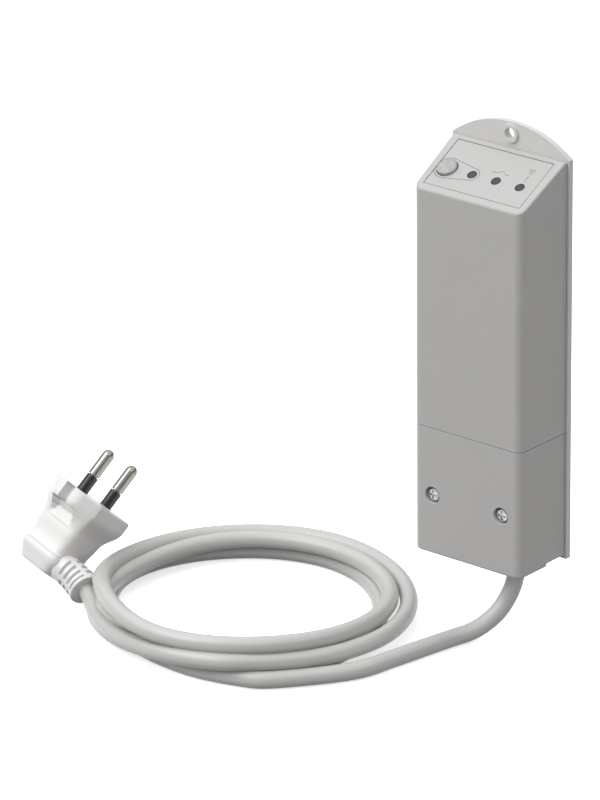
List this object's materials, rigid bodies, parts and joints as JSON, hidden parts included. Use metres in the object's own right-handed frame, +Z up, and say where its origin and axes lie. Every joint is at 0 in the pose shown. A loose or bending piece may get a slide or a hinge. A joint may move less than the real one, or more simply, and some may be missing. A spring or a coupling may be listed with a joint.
{
  "type": "wall-mounted wireless heating controller",
  "caption": "Slim wall-mounted radio relay box for heating control, with a sloping button panel, a lift-off terminal cover and a coiled mains lead with an angle plug.",
  "frame": {"origin": "middle of the back plate's wall face, 84 mm above the case's lowest edge", "axes": "+Z up, +Y into the wall, the front of the case faces -Y, +X to the right of someone facing the case"},
  "size_m": [0.1861, 0.1306, 0.1975],
  "materials": {
    "case_grey": "fine moulded texture, warm mid grey",
    "panel_grey": "satin printed foil, light grey",
    "white_pvc": "satin flexible PVC, warm white",
    "plated_steel": "bright zinc plated",
    "pin_nickel": "polished nickel plate",
    "silver_button": "silver lacquer",
    "smoked_window": "smoked polycarbonate",
    "black_plastic": "satin black moulding",
    "board_green": "green solder resist",
    "relay_blue": "blue moulded box",
    "terminal_green": "green polyamide",
    "transformer_black": "cast resin in a black cup",
    "led_clear": "clear epoxy",
    "copper": "tinned copper",
    "brown_wire": "brown PVC insulation",
    "blue_wire": "blue PVC insulation"
  },
  "bodies": {
    "case": {"back_plate": "case_grey", "front_cover": "case_grey", "cable_clamp": "case_grey", "panel_foil": "panel_grey", "led_window_1": "smoked_window", "led_window_2": "smoked_window", "led_window_3": "smoked_window", "display_board": "board_green", "display_screw_1": "plated_steel", "display_screw_2": "plated_steel", "button_switch": "black_plastic", "led_1": "led_clear", "led_2": "led_clear", "led_3": "led_clear", "ribbon_socket": "black_plastic", "display_ribbon": "copper", "main_board": "board_green", "board_screw_1": "plated_steel", "board_screw_2": "plated_steel", "board_screw_3": "plated_steel", "board_screw_4": "plated_steel", "mains_transformer": "transformer_black", "relay": "relay_blue", "fuse": "black_plastic", "smoothing_capacitor": "black_plastic", "varistor": "relay_blue", "controller_chip": "black_plastic", "radio_board": "board_green", "radio_shield": "plated_steel", "radio_antenna": "copper", "mains_terminal": "terminal_green", "relay_terminal": "terminal_green", "clamp_screw_1": "plated_steel", "clamp_screw_2": "plated_steel", "cable_bushing": "black_plastic", "wire_live": "brown_wire", "wire_neutral": "blue_wire", "mains_cord": "white_pvc", "cord_coil": "white_pvc", "plug_body": "white_pvc", "plug_strain_relief": "white_pvc", "plug_pin_1": "pin_nickel", "plug_pin_2": "pin_nickel", "pin_sleeve_1": "black_plastic", "pin_sleeve_2": "black_plastic"},
    "button": {"push_button": "silver_button"},
    "plunger": {"switch_plunger": "silver_button"},
    "lower_cover": {"terminal_cover": "case_grey", "blanking_plug": "case_grey"},
    "left_screw": {"cover_screw_left": "plated_steel"},
    "right_screw": {"cover_screw_right": "plated_steel"},
    "live_screw": {"mains_terminal_screw_2": "plated_steel"},
    "neutral_screw": {"mains_terminal_screw_1": "plated_steel"},
    "relay_screw_1": {"relay_terminal_screw_1": "plated_steel"},
    "relay_screw_2": {"relay_terminal_screw_2": "plated_steel"},
    "relay_screw_3": {"relay_terminal_screw_3": "plated_steel"}
  },
  "joints": [
    {"name": "button_press", "type": "slide", "parent": "case", "child": "button", "axis": [0, 0.4526, -0.8917], "range_m": [0, 0.0005], "stiffness_N_per_m": 400},
    {"name": "plunger_press", "type": "slide", "parent": "case", "child": "plunger", "axis": [0, 0.4526, -0.8917], "range_m": [0, 0.0006]},
    {"name": "cover_lift_off", "type": "slide", "parent": "case", "child": "lower_cover", "axis": [0, -1, 0], "range_m": [0, 0.04]},
    {"name": "left_screw_turn", "type": "hinge", "parent": "lower_cover", "child": "left_screw", "pos_m": [-0.016, -0.0267, -0.06], "axis": [0, -1, 0], "continuous": true},
    {"name": "right_screw_turn", "type": "hinge", "parent": "lower_cover", "child": "right_screw", "pos_m": [0.016, -0.0267, -0.06], "axis": [0, -1, 0], "continuous": true},
    {"name": "neutral_screw_turn", "type": "hinge", "parent": "case", "child": "neutral_screw", "pos_m": [0.00846, -0.018, -0.04305], "axis": [0, -1, 0], "continuous": true},
    {"name": "live_screw_turn", "type": "hinge", "parent": "case", "child": "live_screw", "pos_m": [0.01354, -0.018, -0.04305], "axis": [0, -1, 0], "continuous": true},
    {"name": "relay_screw_1_turn", "type": "hinge", "parent": "case", "child": "relay_screw_1", "pos_m": [-0.01358, -0.018, -0.04305], "axis": [0, -1, 0], "continuous": true},
    {"name": "relay_screw_2_turn", "type": "hinge", "parent": "case", "child": "relay_screw_2", "pos_m": [-0.0085, -0.018, -0.04305], "axis": [0, -1, 0], "continuous": true},
    {"name": "relay_screw_3_turn", "type": "hinge", "parent": "case", "child": "relay_screw_3", "pos_m": [-0.00342, -0.018, -0.04305], "axis": [0, -1, 0], "continuous": true}
  ],
  "couplings": [
    {"joint": "plunger_press", "follows": "button_press", "ratio": 1}
  ]
}
